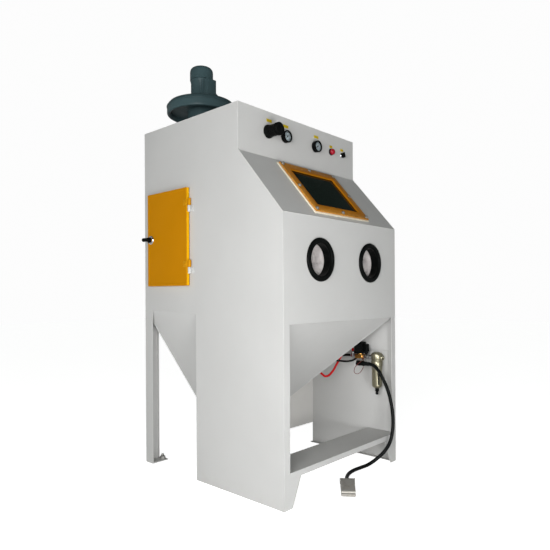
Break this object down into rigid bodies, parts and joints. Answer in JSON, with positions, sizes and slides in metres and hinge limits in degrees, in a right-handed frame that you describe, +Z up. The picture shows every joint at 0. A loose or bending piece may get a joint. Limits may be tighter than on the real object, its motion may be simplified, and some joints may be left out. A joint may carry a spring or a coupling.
{
  "type": "sandblast cabinet",
  "caption": "Floor-standing suction blast cabinet: sloping window, glove ports, side loading door, hopper with drain gate, roof extraction fan, air supply unit and foot switch.",
  "frame": {"origin": "on the floor, in the middle of the footprint measured without the foot switch and its cable; the door handle and the glove-port rings count", "axes": "+Z is up; -Y is the front, where the operator stands at the glove ports; +X is the operator's right, so the loading door is on the -X side"},
  "size_m": [0.965, 1.116, 2.12],
  "materials": {
    "body_paint": "satin powder coat",
    "door_paint": "satin powder coat",
    "frame_paint": "satin powder coat",
    "fan_paint": "semi-gloss enamel",
    "switch_paint": "satin enamel",
    "black_plastic": "matte moulded",
    "red_lens": "gloss faceted",
    "dial_white": "matte",
    "rubber": "matte",
    "pale_seal": "matte",
    "red_hose": "smooth",
    "window_glass": "gloss, dark interior behind",
    "glove_cloth": "woven, matte",
    "steel": "brushed",
    "brass": "polished",
    "cast_alloy": "champagne anodised"
  },
  "bodies": {
    "cabinet": {"left_side_plate": "body_paint", "right_side_plate": "body_paint", "front_panel": "body_paint", "left_front_post": "body_paint", "right_front_post": "body_paint", "foot_shelf": "body_paint", "window_panel": "body_paint", "control_panel": "body_paint", "roof_panel": "body_paint", "chamber_left_wall": "body_paint", "chamber_right_wall": "body_paint", "chamber_back_wall": "body_paint", "hopper_front_plate": "body_paint", "hopper_rear_plate": "body_paint", "hopper_left_plate": "body_paint", "hopper_right_plate": "body_paint", "hopper_spout": "body_paint", "brace_panel": "body_paint", "rear_left_leg": "body_paint", "rear_right_leg": "body_paint", "upper_hinge_pin": "body_paint", "lower_hinge_pin": "body_paint", "window_frame": "frame_paint", "fan_casing": "fan_paint", "fan_cover": "fan_paint", "fan_motor": "fan_paint", "fan_cowl": "fan_paint", "foot_switch_base": "switch_paint", "left_port_ring": "black_plastic", "right_port_ring": "black_plastic", "regulator_body": "black_plastic", "left_gauge": "black_plastic", "right_gauge": "black_plastic", "selector_base": "black_plastic", "solenoid_coil": "black_plastic", "cable_gland": "black_plastic", "pilot_lamp": "red_lens", "air_hose": "rubber", "foot_switch_cable": "rubber", "window_gasket": "pale_seal", "red_hose": "red_hose", "window_glass": "window_glass", "left_glove": "glove_cloth", "right_glove": "glove_cloth", "work_grate": "steel", "air_bracket": "steel", "blast_gun": "steel", "solenoid_valve": "brass", "filter_head": "cast_alloy", "filter_bowl": "cast_alloy"},
    "door": {"door_panel": "door_paint", "door_gasket": "rubber"},
    "latch": {"latch_handle": "black_plastic"},
    "pressure_knob": {"regulator_knob": "black_plastic"},
    "left_needle": {"left_gauge_needle": "dial_white"},
    "right_needle": {"right_gauge_needle": "dial_white"},
    "selector": {"selector_knob": "black_plastic"},
    "impeller": {"fan_impeller": "steel"},
    "gate": {"drain_gate": "steel"},
    "pedal": {"foot_pedal": "switch_paint"}
  },
  "joints": [
    {"name": "door_hinge", "type": "hinge", "parent": "cabinet", "child": "door", "pos_m": [-0.4275, 0.1096, 1.178], "axis": [0, 0, 1], "range_deg": [0, 110]},
    {"name": "latch_turn", "type": "hinge", "parent": "door", "child": "latch", "pos_m": [-0.4475, 0.416, 1.179], "axis": [-1, 0, 0], "range_deg": [0, 90]},
    {"name": "regulator_turn", "type": "hinge", "parent": "cabinet", "child": "pressure_knob", "pos_m": [-0.2225, -0.289, 1.659], "axis": [0, 1, 0], "range_deg": [-720, 720]},
    {"name": "left_gauge_swing", "type": "hinge", "parent": "cabinet", "child": "left_needle", "pos_m": [-0.1035, -0.243, 1.659], "axis": [0, 1, 0], "range_deg": [0, 270]},
    {"name": "right_gauge_swing", "type": "hinge", "parent": "cabinet", "child": "right_needle", "pos_m": [0.1345, -0.243, 1.659], "axis": [0, 1, 0], "range_deg": [0, 270]},
    {"name": "selector_turn", "type": "hinge", "parent": "cabinet", "child": "selector", "pos_m": [0.3725, -0.239, 1.659], "axis": [0, 1, 0], "range_deg": [0, 90]},
    {"name": "fan_spin", "type": "hinge", "parent": "cabinet", "child": "impeller", "pos_m": [-0.1875, 0.301, 1.905], "axis": [0, 0, 1], "continuous": true},
    {"name": "gate_slide", "type": "slide", "parent": "cabinet", "child": "gate", "axis": [0, -1, 0], "range_m": [0, 0.15]},
    {"name": "pedal_press", "type": "hinge", "parent": "cabinet", "child": "pedal", "pos_m": [-0.02047, -0.52471, 0.04], "axis": [0.6101, -0.7923, 0], "range_deg": [0, 3], "stiffness_Nm_per_rad": 8, "springref_deg": -8.59}
  ]
}
